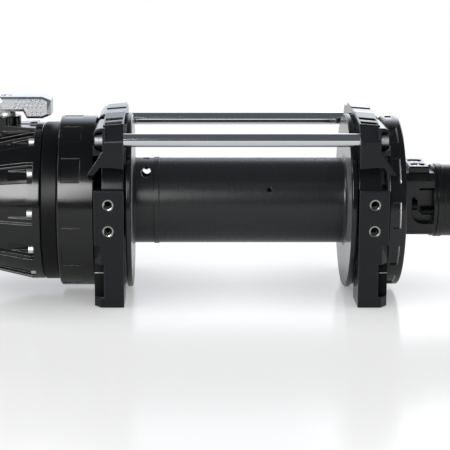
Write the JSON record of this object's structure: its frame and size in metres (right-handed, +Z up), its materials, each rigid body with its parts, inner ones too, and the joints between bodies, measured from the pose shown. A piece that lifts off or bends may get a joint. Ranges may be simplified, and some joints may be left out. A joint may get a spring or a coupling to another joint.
{
  "type": "hydraulic winch",
  "caption": "Black hydraulic planetary winch: flanged rope drum between cast supports joined by tie rods, ribbed gear end with a silver clutch lever, orbital motor at the other end.",
  "frame": {"origin": "centre of the four foot bolts, on the plane the feet stand on", "axes": "+X along the drum axis towards the motor, -Y towards the rope side, +Z up"},
  "size_m": [0.5311, 0.176, 0.1943],
  "materials": {
    "cast_support": "satin black powder coat over cast metal",
    "drum_coat": "matte black coat on a turned steel drum",
    "gear_case": "semi-gloss black coat",
    "motor_flange_coat": "semi-gloss black coat",
    "motor_coat": "black paint over cast iron",
    "polished_steel": "bright drawn bar",
    "lever_alloy": "bright cast alloy with a dimpled grip",
    "zinc_fastener": "bright zinc",
    "black_fastener": "black oxide",
    "insert_steel": "bright steel",
    "gear_steel": "oiled cut steel",
    "bearing_bronze": "sintered bronze",
    "seal_rubber": "black nitrile"
  },
  "bodies": {
    "winch_frame": {"left_drum_support": "cast_support", "right_drum_support": "cast_support", "front_tie_rod": "polished_steel", "rear_tie_rod": "polished_steel", "tie_rod_screws": "zinc_fastener", "thread_inserts": "insert_steel", "foot_nuts": "black_fastener", "left_drum_bushing": "bearing_bronze", "right_drum_bushing": "bearing_bronze", "left_drum_seal": "seal_rubber", "right_drum_seal": "seal_rubber", "gear_housing": "gear_case", "output_ring_gear": "gear_steel", "ring_plate": "gear_case", "gear_end_cover": "gear_case", "cover_screws": "zinc_fastener", "clutch_ring_gear": "gear_steel", "lever_washer": "zinc_fastener", "motor_flange": "motor_flange_coat", "motor_flange_screws": "black_fastener", "motor_port_housing": "motor_coat", "motor_mount_screws": "black_fastener", "motor_wear_plate": "motor_coat", "motor_spacer_plate": "motor_coat", "motor_geroler_ring": "motor_coat", "motor_end_cover": "motor_coat", "motor_stack_bolts": "black_fastener"},
    "rope_drum": {"drum": "drum_coat", "output_carrier": "gear_steel", "output_planet_pins": "gear_steel"},
    "first_stage_carrier": {"input_carrier": "gear_steel", "output_sun_gear": "gear_steel", "input_planet_pins": "gear_steel"},
    "drive_line": {"drive_shaft": "gear_steel", "input_sun_gear": "gear_steel", "shaft_coupling": "gear_steel", "motor_shaft": "gear_steel"},
    "lever_assembly": {"clutch_lever": "lever_alloy", "lever_screw": "zinc_fastener"},
    "clutch_plunger": {"clutch_pin": "gear_steel"},
    "output_planet_body_1": {"output_planet_1": "gear_steel"},
    "output_planet_body_2": {"output_planet_2": "gear_steel"},
    "output_planet_body_3": {"output_planet_3": "gear_steel"},
    "input_planet_body_1": {"input_planet_1": "gear_steel"},
    "input_planet_body_2": {"input_planet_2": "gear_steel"},
    "input_planet_body_3": {"input_planet_3": "gear_steel"}
  },
  "joints": [
    {"name": "drum_spin", "type": "hinge", "parent": "winch_frame", "child": "rope_drum", "pos_m": [0, 0, 0.0889], "axis": [1, 0, 0], "continuous": true},
    {"name": "first_stage_spin", "type": "hinge", "parent": "winch_frame", "child": "first_stage_carrier", "pos_m": [-0.2201, 0, 0.0889], "axis": [1, 0, 0], "continuous": true},
    {"name": "drive_line_spin", "type": "hinge", "parent": "winch_frame", "child": "drive_line", "pos_m": [0, 0, 0.0889], "axis": [1, 0, 0], "continuous": true},
    {"name": "output_planet_spin_1", "type": "hinge", "parent": "rope_drum", "child": "output_planet_body_1", "pos_m": [-0.1559, 0.0378, 0.0889], "axis": [1, 0, 0], "continuous": true},
    {"name": "output_planet_spin_2", "type": "hinge", "parent": "rope_drum", "child": "output_planet_body_2", "pos_m": [-0.1559, -0.0189, 0.12164], "axis": [1, 0, 0], "continuous": true},
    {"name": "output_planet_spin_3", "type": "hinge", "parent": "rope_drum", "child": "output_planet_body_3", "pos_m": [-0.1559, -0.0189, 0.05616], "axis": [1, 0, 0], "continuous": true},
    {"name": "input_planet_spin_1", "type": "hinge", "parent": "first_stage_carrier", "child": "input_planet_body_1", "pos_m": [-0.2201, 0.03375, 0.0889], "axis": [1, 0, 0], "continuous": true},
    {"name": "input_planet_spin_2", "type": "hinge", "parent": "first_stage_carrier", "child": "input_planet_body_2", "pos_m": [-0.2201, -0.01687, 0.11813], "axis": [1, 0, 0], "continuous": true},
    {"name": "input_planet_spin_3", "type": "hinge", "parent": "first_stage_carrier", "child": "input_planet_body_3", "pos_m": [-0.2201, -0.01688, 0.05967], "axis": [1, 0, 0], "continuous": true},
    {"name": "clutch_lever_turn", "type": "hinge", "parent": "winch_frame", "child": "lever_assembly", "pos_m": [-0.2303, 0, 0.1789], "axis": [0, 0, 1], "range_deg": [-90, 0]},
    {"name": "clutch_pin_lift", "type": "slide", "parent": "winch_frame", "child": "clutch_plunger", "axis": [0, 0, 1], "range_m": [0, 0.006]}
  ],
  "couplings": [
    {"joint": "first_stage_spin", "follows": "drum_spin", "ratio": 4.5},
    {"joint": "drive_line_spin", "follows": "drum_spin", "ratio": 20.25},
    {"joint": "output_planet_spin_1", "follows": "drum_spin", "ratio": -2.8},
    {"joint": "output_planet_spin_2", "follows": "drum_spin", "ratio": -2.8},
    {"joint": "output_planet_spin_3", "follows": "drum_spin", "ratio": -2.8},
    {"joint": "input_planet_spin_1", "follows": "drum_spin", "ratio": -12.6},
    {"joint": "input_planet_spin_2", "follows": "drum_spin", "ratio": -12.6},
    {"joint": "input_planet_spin_3", "follows": "drum_spin", "ratio": -12.6},
    {"joint": "clutch_pin_lift", "follows": "clutch_lever_turn", "m_per_rad": -0.0038193}
  ]
}
